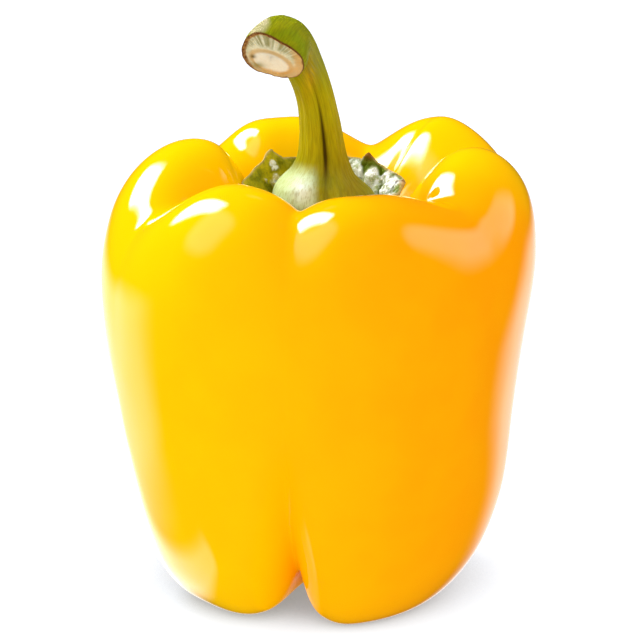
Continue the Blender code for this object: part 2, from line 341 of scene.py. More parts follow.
# Points of its centre line with the radius there, from the hub up and over to the cut end
STEM = [
    (0.0004, 0.0, 0.0778, 0.0075),
    (0.0004, 0.0, 0.0795, 0.0098),
    (0.0002, 0.0, 0.0822, 0.0103),
    (0.0003, 0.0, 0.0845, 0.0089),
    (0.0004, 0.0, 0.0866, 0.0062),
    (0.0006, 0.0, 0.0895, 0.0050),
    (0.0003, 0.0, 0.0935, 0.0045),
    (-0.0002, 0.0, 0.0980, 0.0040),
    (-0.0011, -0.0001, 0.1030, 0.0037),
    (-0.0035, -0.0011, 0.1087, 0.0040),
    (-0.0055, -0.0049, 0.1130, 0.0043),
    (-0.0070, -0.0089, 0.1137, 0.0050),
    (-0.0083, -0.0119, 0.1119, 0.0056),
    (-0.0092, -0.0136, 0.1108, 0.0052),
]
# Where angle 0 of the section faces, and where the cut end faces
STEM_SIDE = (0.93, -0.36, 0.0)
CUT_NORMAL = (-0.28, -0.86, -0.42)
# The share of the way along from which the rings lean over into the plane of the cut
CUT_FROM = 0.72
# The cut's oval and its three corners: share of the radius, and angle round the section
CUT_OVAL, CUT_OVAL_AT = 0.20, -27
CUT_CORNERS, CUT_CORNERS_AT = 0.06, -22
# The hub's five corners: share of the radius, phase in degrees, and where along the stem they end
HUB_CORNERS, HUB_CORNERS_AT, HUB_ENDS = 0.05, 20, (0.2, 0.35)
# Grooves down the stem: azimuth in degrees, depth as a share of the radius, sharpness
GROOVES = [(278, 0.20, 16.0), (345, 0.12, 10.0), (60, 0.13, 10.0), (130, 0.13, 10.0), (214, 0.12, 12.0)]
# How deep they are along the stem, as a share of their full depth
GROOVE_ALONG = (0.0, 0.2, 0.4, 0.65, 0.8, 1.0)
GROOVE_DEPTH = (0.3, 0.6, 1.0, 0.8, 0.3, 0.15)
# Fine lines inside and beside the grooves: azimuth in degrees, depth as a share, sharpness
FINE_LINES = [
    (278, 0.10, 160.0), (262, 0.045, 260.0), (297, 0.05, 220.0), (318, 0.03, 300.0), (240, 0.03, 300.0),
]


def stem_section(along, phi, twist):
    """The stem's outline as a share of its radius: grooves, a cornered hub and an oval cut end."""
    share = np.ones((len(along), len(phi)))
    depth = np.interp(along, GROOVE_ALONG, GROOVE_DEPTH)[:, None]
    groove = np.zeros_like(share)
    for azimuth, cut, sharp in GROOVES + FINE_LINES:
        groove += cut * depth * np.exp(sharp * (np.cos(phi - np.radians(azimuth) + twist) - 1))
    hub = np.interp(along, HUB_ENDS, [1, 0])[:, None]
    share += hub * HUB_CORNERS * np.cos(5 * (phi + twist) - np.radians(HUB_CORNERS_AT))
    end = np.interp(along, [CUT_FROM, 1], [0, 1])[:, None]
    share += end * CUT_OVAL * np.cos(2 * (phi - np.radians(CUT_OVAL_AT)))
    share += end * CUT_CORNERS * np.cos(3 * (phi - np.radians(CUT_CORNERS_AT)))
    return share - groove, groove


# %% [markdown]
# ## The cut end
# A knife leaves three zones: a corky brown rim, thickest at its upper edge, a cream ring with
# short spokes of fibre, and a soft oval pith that dries a little proud of them. All three are
# relief on the same surface, so the stem stays one closed piece.

# %% Build the stem
PITH_MIDDLE, PITH_RADII, PITH_TURN = (-0.0001, -0.0013), (0.0038, 0.0019), np.radians(-20)
# Number and height of the spokes, depth of their ring, and how proud the pith stands behind the
# fine groove round it
SPOKES, SPOKE_HEIGHT = 44, 0.00007
RING_DEPTH, PITH_PROUD, PITH_GROOVE = 0.00035, 0.00030, 0.00016
# Crumbs on the face: height, size and seed
FACE_CRUMBS = [(0.00005, 0.0006, 21)]
# Thickness of the corky rim as a share of the way in: at the lower edge and what the upper edge
# adds; and its fraying: share of the thickness, size and seed
RIM_THIN, RIM_MORE = 0.030, 0.085
RIM_FRAYS = [(0.45, 0.0009, 22)]
# Zones of the relief: the lip and the bowl behind it as shares of the way in, the spokes' ring
# by that share and by the distance round the pith, and the pith's slope and groove
LIP, BOWL, BOWL_RISES = (0.03, 0.13), (0.3, 0.8), 0.5
SPOKES_INSIDE, SPOKES_OUTSIDE = (0.08, 0.16), (1.25, 1.7)
PITH_SLOPE, PITH_GROOVE_AT, PITH_GROOVE_HALF = (0.75, 1.1), 1.12, 0.10
# The side of the cut, across the picture and upwards, where the rim is thickest
THICK_SIDE = (-0.45, 0.0, 0.9)


def pith_place(x, z):
    """Where a point of the cut face lies round the pith: its distance, 1 on the oval, and direction."""
    x, z = x - PITH_MIDDLE[0], z - PITH_MIDDLE[1]
    across = (x * np.cos(PITH_TURN) + z * np.sin(PITH_TURN)) / PITH_RADII[0]
    up = (z * np.cos(PITH_TURN) - x * np.sin(PITH_TURN)) / PITH_RADII[1]
    pith = np.hypot(across, up)
    ray = np.stack([across, up, 0 * up], axis=-1) / np.maximum(pith, 1e-6)[..., None]
    return pith, ray


def cut_face(rim, middle, normal):
    """Rows from the rim to the middle of the cut: a corky lip, spokes, and the oval pith."""
    share = np.linspace(1, 0, FACE_ROWS)[1:, None]
    rows = middle + share[..., None] * (rim - middle)
    x, z = (rows - middle)[..., 0], (rows - middle)[..., 2]
    pith, ray = pith_place(x, z)
    high = (rim - middle) @ THICK_SIDE
    high = high / np.abs(high).max()
    thick = (RIM_THIN + RIM_MORE * ramp(high, -0.5, 0.6)) * (1 + layered_noise(rim, RIM_FRAYS))
    cork = ramp(share, 1 - 1.25 * thick, 1 - 0.8 * thick)
    inside = 1 - share
    lip = -RING_DEPTH * ramp(inside, *LIP) * (1 - BOWL_RISES * ramp(inside, *BOWL))
    in_ring = ramp(inside, *SPOKES_INSIDE) * ramp(pith, *SPOKES_OUTSIDE)
    angle = np.arctan2(ray[..., 1], ray[..., 0])
    spokes = SPOKE_HEIGHT * in_ring * np.sin(SPOKES * angle + 2 * np.sin(3 * angle))
    groove = PITH_GROOVE * np.exp(-(((pith - PITH_GROOVE_AT) / PITH_GROOVE_HALF) ** 2))
    proud = PITH_PROUD * (1 - ramp(pith, *PITH_SLOPE)) - groove
    relief = np.where(share > 0, lip + spokes + proud + layered_noise(rows, FACE_CRUMBS), 0)
    rows = rows + relief[..., None] * normal
    rows[-1] = middle + relief[-1].mean() * normal
    low_side = ramp(high, 0.1, -0.5) * ramp(share, 0.62, 0.80)
    on_face = {"cork": cork, "pith": pith, "ray": ray, "low_side": low_side}
    return rows, on_face | {"face_share": share + 0 * pith}


# Marks on the stem: where each lies, and how far it spreads along x, y and z
STEM_MARKS = {
    "dry": ((-0.0114, -0.0100, 0.1160), (0.0032, 0.0060, 0.0024)),
    "gold": ((-0.0020, -0.0050, 0.1055), (0.0012, 0.0060, 0.0040)),
    "amber": ((0.0075, -0.0050, 0.0900), (0.0050, 0.0080, 0.0090)),
    "scurf": ((-0.0010, -0.0050, 0.1085), (0.0024, 0.0060, 0.0032)),
    "spot": ((-0.0126, -0.0110, 0.1107), (0.0006, 0.0030, 0.0004)),
    "moss": ((-0.0117, -0.0110, 0.1089), (0.0013, 0.0040, 0.0007)),
    # This mark whitens the hub's bloom at its front left, partly as a painted sheen.
    "frost_and_sheen": ((-0.0034, -0.0075, 0.0840), (0.0022, 0.0050, 0.0026)),
}


def stem_marks(rows):
    """How strongly each mark shows at each point: a soft bell round its middle."""
    marks = {}
    for label, (middle, spread) in STEM_MARKS.items():
        marks[label] = np.exp(-(((rows - middle) / spread) ** 2).sum(axis=-1))
    return marks


# Relief of the whole stem as a share of its radius: height, cells round and along it, seed
STEM_RELIEF = [(0.012, (7, 7, 1.2), 5), (0.008, (20, 20, 2), 6), (0.016, (3, 3, 3), 7)]
# The hub's facets in the same terms, and where along the stem relief begins and facets end
HUB_FACETS, FACET_CELLS, FACET_SEED = 0.06, (2.4, 2.4, 1.8), 9
RELIEF_STARTS, FACETS_END = (0.03, 0.12), (0.42, 0.30)
# Rings of the flat underside, as shares of the way out
UNDERSIDE = (0, 0.3, 0.6, 0.85)


def stem_rows():
    """A ribbed tube along the centre line; its rows run from the middle of the cut to the hub."""
    controls = np.array(STEM)
    ends = [2 * controls[0] - controls[1], 2 * controls[-1] - controls[-2]]
    line = spline_weights(len(STEM), STEM_ROWS) @ np.vstack([ends[0], controls, ends[1]])
    centre, radius = line[:, :3], line[:, 3]
    forward = unit(np.gradient(centre, axis=0))
    side = unit(np.array(STEM_SIDE))
    across = unit(side - (forward @ side)[:, None] * forward)
    over = np.cross(forward, across)
    along = np.linspace(0, 1, STEM_ROWS)
    phi = np.linspace(0, TURN, STEM_AROUND, endpoint=False)
    twist = np.arctan2(side[1], side[0])
    share, groove = stem_section(along, phi, twist)
    grain = np.stack(np.broadcast_arrays(np.cos(phi), np.sin(phi), 6 * along[:, None]), axis=-1)
    fibres = sum(height * soft_noise(grain * cells, 1.0, seed) for height, cells, seed in STEM_RELIEF)
    above_foot = ramp(along, *RELIEF_STARTS)
    on_hub = above_foot * ramp(along, *FACETS_END)
    facets = HUB_FACETS * on_hub[:, None] * soft_noise(grain * FACET_CELLS, 1.0, FACET_SEED)
    share = share + facets + fibres * above_foot[:, None]
    reach = (radius[:, None] * share)[..., None]
    offset = reach * (np.cos(phi)[:, None] * across[:, None] + np.sin(phi)[:, None] * over[:, None])
    cut = unit(np.array(CUT_NORMAL))
    tilt = np.clip((along - CUT_FROM) / (1 - CUT_FROM), 0, 1)[:, None]
    lean = -tilt * (offset @ cut) / (forward @ cut)[:, None]
    skin = centre[:, None] + offset + lean[..., None] * forward[:, None]
    under = centre[0] + np.array(UNDERSIDE)[:, None, None] * (skin[0] - centre[0])
    face, on_face = cut_face(skin[-1], centre[-1], cut)
    rows = np.concatenate([under, skin, face])
    flat, below = np.zeros_like(face[..., 0]), np.zeros_like(under[..., 0])
    values = {
        "grain": np.pad(grain, ((len(under), len(face)), (0, 0), (0, 0)), mode="edge"),
        "groove": np.concatenate([below, groove, flat]),
        "along": np.concatenate([below, along[:, None] + 0 * share, 1 + flat]),
        "face": np.concatenate([below, 0 * share, 1 + flat]),
    }
    before = len(under) + len(skin)
    for label, grid in on_face.items():
        padding = ((before, 0),) + ((0, 0),) * (grid.ndim - 1)
        values[label] = np.pad(grid, padding, mode="edge")
    values.update(stem_marks(rows))
    return rows[::-1], {label: grid[::-1] for label, grid in values.items()}


stem = closed_surface("stem_stalk", *stem_rows())
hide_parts("stem")
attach(stem, "root")

# %% [markdown]
# ## The calyx
# The calyx is the leafy collar that held the flower. It starts as a disc under the hub, and its
# torn rim stands up against the crown. On the left it is a smooth flap with a pointed tip. On
# the right it has dried into crumpled lumps with a pale bloom. It is one thin leaf: a saucer
# whose rim height follows the azimuth, with each lump raised on its upper side.

# %% Rim and lumps of the calyx
CALYX_AROUND, CALYX_ROWS = 560, 46
CALYX_THICKNESS = 0.0006
# Height and radius of the disc, the power by which the rim rises from it, and its waves' height
CALYX_FLOOR, CALYX_DISC = 0.0770, 0.0095
CALYX_CURVE, CALYX_WAVES = 1.15, 0.0004
# The rim of the calyx: azimuth in degrees, radius, height
CALYX_RIM = [
    (3, 0.0174, 0.0842), (14, 0.0159, 0.0850), (25, 0.0146, 0.0862), (33, 0.0140, 0.0870),
    (41, 0.0138, 0.0889), (49, 0.0132, 0.0873), (61, 0.0132, 0.0874), (78, 0.0134, 0.0882),
    (95, 0.0130, 0.0864), (113, 0.0130, 0.0875), (126, 0.0132, 0.0876), (136, 0.0134, 0.0894),
    (146, 0.0136, 0.0878), (170, 0.0145, 0.0854), (185, 0.0148, 0.0840), (203, 0.0136, 0.0815),
    (222, 0.0150, 0.0826), (241, 0.0136, 0.0804), (262, 0.0130, 0.0795), (282, 0.0140, 0.0810),
    (300, 0.0154, 0.0824), (320, 0.0136, 0.0810), (338, 0.0148, 0.0823), (350, 0.0160, 0.0832),
]
# Lumps: azimuth in degrees, share of the way out, radius, height, how much bloom lies on it
LUMPS = [
    (33, 0.70, 0.0023, 0.0013, 1.0), (53, 0.80, 0.0024, 0.0007, 0.9), (60, 0.55, 0.0016, 0.0006, 0.6),
    (21, 0.84, 0.0020, 0.0007, 0.95), (7, 0.76, 0.0027, 0.0013, 1.0), (24, 0.56, 0.0015, 0.0011, 0.5),
    (14, 0.92, 0.0014, 0.0006, 0.9), (-5, 0.58, 0.0016, 0.0009, 0.15), (10, 0.46, 0.0015, 0.0009, 0.2),
    (42, 0.50, 0.0014, 0.0006, 0.4), (72, 0.80, 0.0018, 0.0007, 0.8), (84, 0.60, 0.0015, 0.0007, 0.5),
    (98, 0.80, 0.0013, 0.0005, 0.4), (138, 0.83, 0.0007, 0.0003, 0.8), (138, 0.74, 0.0008, 0.0004, 0.9),
    (138, 0.65, 0.0008, 0.0005, 0.9), (137, 0.57, 0.0009, 0.0005, 0.9), (143, 0.53, 0.0009, 0.0006, 0.5),
    (152, 0.62, 0.0009, 0.0011, 0.6), (148, 0.52, 0.0007, 0.0006, 0.6),
    (196, 0.60, 0.0016, 0.0009, 0.7), (214, 0.70, 0.0019, 0.0010, 0.8), (233, 0.60, 0.0016, 0.0009, 0.6),
    (252, 0.55, 0.0014, 0.0008, 0.7), (274, 0.60, 0.0015, 0.0008, 0.6), (296, 0.70, 0.0019, 0.0010, 0.8),
    (312, 0.60, 0.0015, 0.0009, 0.7), (330, 0.65, 0.0018, 0.0011, 0.9), (346, 0.80, 0.0018, 0.0011, 0.9),
]
# How far the lumps' outlines stray, the size of that noise and its seeds along x, y and z
LUMP_RAGGED, LUMP_RAGGED_CELL, LUMP_SEEDS = 0.0011, 0.0016, (33, 34, 35)
# The share of a lump's height between which its bloom comes in, and the bloom underneath the leaf
BLOOM_EDGE, UNDER_BLOOM = (0.22, 0.60), 0.3
# Crumple of the whole leaf: height, size and seed; and how much smoother the flap is
CRUMPLES = [(0.00045, 0.0011, 31), (0.00022, 0.0005, 32)]
FLAP_SMOOTHS = 0.75
# The fold that runs down from the flap's tip: azimuth and half width in degrees, height
FOLD_AT, FOLD_HALF, FOLD_HEIGHT = 137, 3.0, 0.0006
# The smooth flap: azimuth and half width in degrees
SMOOTH_FLAP, FLAP_WIDTH = 154, 40
# Rings of the disc, as shares of its radius
DISC_RINGS = (0.02, 0.4, 0.8)
# Dry brown tips: where each lies and how far it spreads
DRY_TIPS = [((0.0104, 0.0090, 0.0886), 0.0013), ((0.0172, 0.0009, 0.0842), 0.0010)]


def calyx_leaf(theta, out):
    """The middle of the leaf: a disc, then a rim that rises as a power of the way out."""
    azimuth, rim_radius, rim_height = np.array(CALYX_RIM).T
    rim_r = np.interp(theta, np.radians(azimuth), rim_radius, period=TURN)
    rim_z = np.interp(theta, np.radians(azimuth), rim_height, period=TURN)
    wave = np.sin(9 * theta + 5 * out) + 0.6 * np.sin(17 * theta - 9 * out + 1)
    r = CALYX_DISC + (rim_r - CALYX_DISC) * out + CALYX_WAVES * out * wave
    z = CALYX_FLOOR + (rim_z - CALYX_FLOOR) * out**CALYX_CURVE
    return np.stack([r * np.cos(theta), r * np.sin(theta), z], axis=-1)


# %% Build the calyx
def calyx_rows():
    """The leaf's upper side with its lumps, then its underside, from the middle out and back."""
    theta = np.linspace(0, TURN, CALYX_AROUND, endpoint=False)
    out = np.linspace(0, 1, CALYX_ROWS)[:, None]
    leaf = calyx_leaf(theta, out)
    inner = np.array(DISC_RINGS)[:, None, None] * leaf[0] * (1, 1, 0) + (0, 0, CALYX_FLOOR)
    middle = np.concatenate([inner, leaf])
    place = np.concatenate([np.zeros((len(DISC_RINGS), 1)), out])
    normal = outward_normals(middle)
    lift, bloom = np.zeros(middle.shape[:2]), np.zeros(middle.shape[:2])
    ragged = [soft_noise(middle, LUMP_RAGGED_CELL, seed) for seed in LUMP_SEEDS]
    strayed = middle + LUMP_RAGGED * np.stack(ragged, axis=-1)
    for azimuth, at, radius, height, dusty in LUMPS:
        at_lump = calyx_leaf(np.radians([azimuth]), np.array([[at]]))[0, 0]
        distance = np.linalg.norm(strayed - at_lump, axis=-1) / radius
        raised = height * np.exp(-(distance**3))
        bloom = np.maximum(bloom, dusty * ramp(raised / height, *BLOOM_EDGE))
        lift = np.maximum(lift, raised)
    fold = FOLD_HEIGHT * np.exp(-((turned(theta, FOLD_AT) / np.radians(FOLD_HALF)) ** 2))
    lift = lift + fold * ramp(place, 0.2, 0.6)
    smooth = np.exp(-((turned(theta, SMOOTH_FLAP) / np.radians(FLAP_WIDTH)) ** 4))
    crumple = (1 - FLAP_SMOOTHS * smooth) * layered_noise(middle, CRUMPLES)
    fringe = ramp(place, 0.9, 1.0)
    thick = CALYX_THICKNESS / 2 * (1 - 0.7 * fringe)
    upper = middle + (thick + (lift + np.abs(crumple)) * ramp(place, 0.1, 0.3))[..., None] * normal
    lower = middle - thick[..., None] * normal
    upper[0] = upper[0].mean(axis=0)
    lower[0] = lower[0].mean(axis=0)
    values = {
        "bloom": np.concatenate([bloom, UNDER_BLOOM * np.ones_like(bloom)]),
        "out": np.concatenate([place + 0 * bloom, (place + 0 * bloom)[::-1]]),
        "flap": np.concatenate([smooth + 0 * bloom, smooth + 0 * bloom]),
        "lift": np.concatenate([lift * 1000, 0 * lift]),
    }
    both = np.concatenate([middle, middle])
    tips = [np.exp(-(np.linalg.norm(both - tip, axis=-1) / reach) ** 2) for tip, reach in DRY_TIPS]
    values["dry"] = np.maximum(*tips)
    return np.concatenate([upper, lower[::-1]]), values


calyx = closed_surface("calyx_leaf", *calyx_rows())
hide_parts("calyx")
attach(calyx, "root")

# %% [markdown]
# ## Shader building blocks
# All three finishes shift colour and gloss in soft patches, so that mottle is a node group, made
# once and placed with its own size each time. Fine specks, for the crumbs of bloom, are a second
# group. Sizes are in metres, or in shares of the section where a pattern follows the grain.

# %% Node helpers
COLOUR_FACTOR, COLOUR_A, COLOUR_B, COLOUR_OUT = 0, 6, 7, 2


def add(tree, kind, inputs=None, **settings):
    """A node with its settings, its plain values and its links; sockets among the inputs are linked."""
    node = tree.nodes.new(kind)
    for key, value in settings.items():
        setattr(node, key, value)
    for key, value in (inputs or {}).items():
        if isinstance(value, bpy.types.NodeSocket):
            tree.links.new(value, node.inputs[key])
        else:
            node.inputs[key].default_value = value
    return node


def calculate(tree, operation, first, second=0.0):
    """One arithmetic step on two values."""
    return add(tree, "ShaderNodeMath", {0: first, 1: second}, operation=operation).outputs[0]


def times(tree, first, second):
    """The product of two values, such as how strongly a mask shows."""
    return calculate(tree, "MULTIPLY", first, second)


def band(tree, value, low, high, to_low=0.0, to_high=1.0):
    """A smooth step of a value from low to high, put out from to_low to to_high."""
    inputs = {"Value": value, "From Min": low, "From Max": high, "To Min": to_low, "To Max": to_high}
    return add(tree, "ShaderNodeMapRange", inputs, interpolation_type="SMOOTHSTEP").outputs["Result"]


def tint(tree, share, first, second, mode="MIX"):
    """Two colours blended by a share from 0 to 1."""
    inputs = {COLOUR_FACTOR: share, COLOUR_A: first, COLOUR_B: second}
    node = add(tree, "ShaderNodeMix", inputs, data_type="RGBA", blend_type=mode)
    return node.outputs[COLOUR_OUT]


def coats(tree, paint, layers):
    """Layers of colour over a first one: each has a mask, how strongly it shows, and its colour."""
    for mask, strength, over in layers:
        share = mask if strength == 1 else times(tree, mask, strength)
        paint = tint(tree, share, paint, over)
    return paint


def value_of(tree, label):
    """A value that the mesh carries for each of its points."""
    return add(tree, "ShaderNodeAttribute", attribute_name=label).outputs["Fac"]


def vector_of(tree, label):
    """A direction that the mesh carries for each of its points."""
    return add(tree, "ShaderNodeAttribute", attribute_name=label).outputs["Vector"]


def colour(red, green, blue):
    """A screen colour from 0 to 255 as the linear values that shaders use."""
    channels = np.array([red, green, blue]) / 255
    linear = np.where(channels <= 0.04045, channels / 12.92, ((channels + 0.055) / 1.055) ** 2.4)
    return (*linear.tolist(), 1.0)


def pattern_inputs(**floats):
    """The sockets of a pattern's group: where it is looked up, then its named numbers."""
    plain = [(label, "NodeSocketFloat", value) for label, value in floats.items()]
    return [("Vector", "NodeSocketVector", None), *plain]


def new_group(name, inputs, outputs):
    """An empty shader node group with named sockets, and its input and output nodes."""
    group = bpy.data.node_groups.new(name, "ShaderNodeTree")
    for label, kind, value in inputs:
        socket = group.interface.new_socket(label, in_out="INPUT", socket_type=kind)
        if value is not None:
            socket.default_value = value
    for label, kind in outputs:
        group.interface.new_socket(label, in_out="OUTPUT", socket_type=kind)
    return group, group.nodes.new("NodeGroupInput"), group.nodes.new("NodeGroupOutput")


# %% Soft mottle and fine specks
def make_mottle():
    """Noise in patches of a given size, stretched to run from 0 to 1."""
    inputs = pattern_inputs(Size=0.005, Detail=2.0)
    group, start, end = new_group("Soft mottle", inputs, [("Mask", "NodeSocketFloat")])
    scale = calculate(group, "DIVIDE", 1.0, start.outputs["Size"])
    wired = {"Vector": start.outputs["Vector"], "Scale": scale, "Detail": start.outputs["Detail"]}
    noise = add(group, "ShaderNodeTexNoise", wired | {"Roughness": 0.55})
    group.links.new(band(group, noise.outputs["Fac"], 0.3, 0.7), end.inputs["Mask"])
    return group


def make_specks():
    """Small round specks at random places: 1 at the middle of a speck and 0 between them."""
    inputs = pattern_inputs(Size=0.001, Radius=0.3)
    group, start, end = new_group("Fine specks", inputs, [("Mask", "NodeSocketFloat")])
    scale = calculate(group, "DIVIDE", 1.0, start.outputs["Size"])
    cells = add(group, "ShaderNodeTexVoronoi", {"Vector": start.outputs["Vector"], "Scale": scale})
    mask = band(group, cells.outputs["Distance"], start.outputs["Radius"], 0.0)
    group.links.new(mask, end.inputs["Mask"])
    return group


MOTTLE, SPECKS = make_mottle(), make_specks()
print("node groups:", MOTTLE.name, "and", SPECKS.name)


def mottle(tree, vector, size, detail=2.0):
    """The soft mottle, placed in a material with its own size and detail."""
    node = add(tree, "ShaderNodeGroup", node_tree=MOTTLE)
    tree.links.new(vector, node.inputs["Vector"])
    node.inputs["Size"].default_value = size
    node.inputs["Detail"].default_value = detail
    return node.outputs["Mask"]


def specks(tree, vector, size, radius):
    """The fine specks, placed in a material with their own size."""
    node = add(tree, "ShaderNodeGroup", node_tree=SPECKS)
    tree.links.new(vector, node.inputs["Vector"])
    node.inputs["Size"].default_value = size
    node.inputs["Radius"].default_value = radius
    return node.outputs["Mask"]


def new_material(name, piece):
    """A material on the piece, its node tree and its Principled shader."""
    material = bpy.data.materials.new(name)
    material.use_nodes = True
    piece.data.materials.append(material)
    tree = material.node_tree
    return tree, tree.nodes["Principled BSDF"]


def relief(tree, shader, height, distance):
    """Fine relief for the light: a Bump node whose height is in shares of the distance."""
    bump = add(tree, "ShaderNodeBump", {"Height": height, "Distance": distance, "Strength": 1.0})
    tree.links.new(bump.outputs["Normal"], shader.inputs["Normal"])


# %% [markdown]
# ## The skin's finish
# The skin is a clear waxy layer over coloured flesh. All of its gloss is one thin clear coat, and
# the flesh below it has none, which keeps the colour full beside a highlight. Dust dulls the
# coat in the hollow of the crown and in the fold at the foot. The colour turns from lemon on the
# left to amber on the right, in soft patches. The lemon is partly the skin's own tone and partly
# painted light on the side where the softbox falls. Painted shade deepens the colour in the
# creases. It could be painted by hand, but masks made from place and crease depth fit any view.

# %% Paint the fruit
# AMBER and LEMON are the skin's tones; the third colour is painted shade for the creases.
AMBER, LEMON, PAINTED_CREASE_SHADE = (0.98, 0.315, 0.0, 1.0), (0.98, 0.56, 0.0, 1.0), (0.96, 0.27, 0.0, 1.0)
SCAR_BROWN = colour(150, 105, 50)
# Where across the fruit amber turns to lemon, and what patches and the back of the crown add to
# it; the lemon on the left and on the crown's back is partly painted light where the softbox falls
AMBER_TO_LEMON, PATCHES_ADD, BACK_ADDS = (0.045, -0.042), 0.10, 0.75
BACK_HEIGHT, BACK_INWARDS = (0.074, 0.090), (-0.030, -0.008)
# Where dust lies: below and inside the crown's rim, and low down where a crease is this deep
HOLLOW_HEIGHT, HOLLOW_RADIUS = (0.0870, 0.0848), (0.0225, 0.0205)
FOOT_FOLD_HEIGHT, FOOT_FOLD_DEPTH = (0.046, 0.034), (0.12, 0.24)
# How much of the coat is left under the dust
FOLD_GLOSS = 0.15
FLESH_ROUGHNESS = (0.30, 0.38)

tree, shader = new_material("waxy yellow skin", fruit)
place = add(tree, "ShaderNodeTexCoord").outputs["Object"]
across, inwards, height = add(tree, "ShaderNodeSeparateXYZ", {0: place}).outputs
patches = mottle(tree, place, size=0.012)
fine = mottle(tree, place, size=0.0022, detail=3.0)
# Lemon towards the left is partly the skin's own tone and partly painted light from the softbox.
turning = band(tree, across, *AMBER_TO_LEMON)
turning = calculate(tree, "ADD", turning, times(tree, patches, PATCHES_ADD))
# The crown's back turns lemon too, partly as painted light on the top that the softbox reaches.
back_crown = times(tree, band(tree, height, *BACK_HEIGHT), band(tree, inwards, *BACK_INWARDS))
turning = calculate(tree, "ADD", turning, times(tree, back_crown, BACK_ADDS))
turning = calculate(tree, "MINIMUM", turning, 1.0)
crease = value_of(tree, "crease")
# Painted shade: the creases are deepened towards a darker orange, more where they pull in further.
layers = [(turning, 1, LEMON), (crease, 0.30, PAINTED_CREASE_SHADE), (value_of(tree, "scar"), 1, SCAR_BROWN)]
skin = coats(tree, AMBER, layers)
tree.links.new(skin, shader.inputs["Base Color"])
tree.links.new(band(tree, fine, 0.0, 1.0, *FLESH_ROUGHNESS), shader.inputs["Roughness"])
shader.inputs["Specular IOR Level"].default_value = 0.0
from_axis = add(tree, "ShaderNodeCombineXYZ", {"X": across, "Y": inwards}).outputs[0]
from_axis = add(tree, "ShaderNodeVectorMath", {0: from_axis}, operation="LENGTH").outputs["Value"]
in_hollow = times(tree, band(tree, height, *HOLLOW_HEIGHT), band(tree, from_axis, *HOLLOW_RADIUS))
low_down = band(tree, height, *FOOT_FOLD_HEIGHT)
in_fold = times(tree, low_down, band(tree, crease, *FOOT_FOLD_DEPTH))
dull = calculate(tree, "MAXIMUM", in_hollow, in_fold)
tree.links.new(band(tree, dull, 0.0, 1.0, 1.0, FOLD_GLOSS), shader.inputs["Coat Weight"])
shader.inputs["Coat Roughness"].default_value = 0.06
shader.inputs["Coat IOR"].default_value = 1.45
relief(tree, shader, fine, distance=0.00001)
print("nodes in the skin's material:", len(tree.nodes))

# %% [markdown]
# ## The stem's finish
# Fibres run along the stem, so its pattern follows the grain attribute, which winds round the
# section with no seam. The grooves are darkened with painted shade, the deepest one with a thin
# darker painted line. The hub wears a bloom that turns white on its left, partly as a painted
# sheen, and a patch near the cut has dried to cork. What lies in one place only, such as the
# golden streak or the scurf, is a soft bell that the mesh carries, because a painted picture
# would need a file of its own.

# %% Paint the stem
OLIVE, BASE_GREEN, LEAF_GREEN = colour(178, 168, 4), colour(146, 146, 6), colour(128, 140, 0)
# The last brown here colours the fibre streaks and a spot on the cut, and also paints shade in the grooves.
GOLD, AMBER_GREEN, STREAK_BROWN_AND_GROOVE_SHADE = colour(198, 166, 0), colour(154, 134, 0), colour(84, 68, 0)
# The pale bloom is partly a painted sheen where the hub's left faces the light.
STEM_BLOOM, PALE_BLOOM_AND_SHEEN = colour(188, 206, 148), colour(226, 240, 228)
CORK, RIM_BROWN = colour(188, 176, 138), colour(96, 52, 18)
SCURF, CREAM, PITH = colour(138, 140, 74), colour(222, 218, 184), colour(228, 221, 196)
# The last brown here paints a shaded line along the bottom of the deepest groove.
TAN, FACE_GREEN, GROOVE_LINE_SHADE = colour(204, 162, 96), colour(132, 128, 72), colour(62, 44, 0)
# Where each colour comes in along the stem, from 0 at the hub to 1 at the cut
LEAF_ALONG, DEEP_ALONG, BROWN_ALONG = (0.52, 0.78), (0.62, 0.45), (0.982, 0.998)
# The same by height: the green base, and the upper and lower edge of the hub
BASE_HEIGHT, HUB_TOP, HUB_FOOT = (0.0930, 0.0860), (0.0893, 0.0858), (0.0785, 0.0812)
# The side of the hub with dust and a painted sheen, across the picture and inwards, and how thickly
# they lie on fibres
DUST_SHEEN_LEFT, DUST_SHEEN_FRONT, DUST_AND_SHEEN = (0.0002, -0.0016), (0.006, 0.001), (0.15, 0.62, 0.60, 0.97)
DUST_ON_STREAKS, DUST_ON_GRAIN, THIN_DUST = 0.65, 0.35, 0.05
# How deep a groove has to be for its painted shade and for its thin painted dark line
GROOVE_SHADE, GROOVE_LINE = (0.10, 0.30), (0.22, 0.28)
DRY_PATCH = (0.35, 0.60, 0.0, 0.95)
# Zones of the cut, as distances round the pith, and the dried border as a share of the way out
RING_FROM, PITH_EDGE, DRIED_FROM = (1.25, 1.75), (1.06, 0.92), (0.84, 0.94)
OUTLINE_OUTER, OUTLINE_INNER = (1.30, 1.04), (0.82, 1.0)
STALK_ROUGHNESS = (0.42, 0.6)

tree, shader = new_material("ribbed green stem", stem)
place = add(tree, "ShaderNodeTexCoord").outputs["Object"]
across, inwards, height = add(tree, "ShaderNodeSeparateXYZ", {0: place}).outputs
grain = vector_of(tree, "grain")
inputs = {0: grain, 1: (1.0, 1.0, 0.16)}
stretched = add(tree, "ShaderNodeVectorMath", inputs, operation="MULTIPLY").outputs[0]
streaks = mottle(tree, stretched, size=0.07, detail=4.0)
fine_streaks = mottle(tree, stretched, size=0.028, detail=3.0)
blotches = mottle(tree, place, size=0.0032, detail=3.0)
fine = mottle(tree, place, size=0.0007, detail=3.0)
along = value_of(tree, "along")
groove = value_of(tree, "groove")
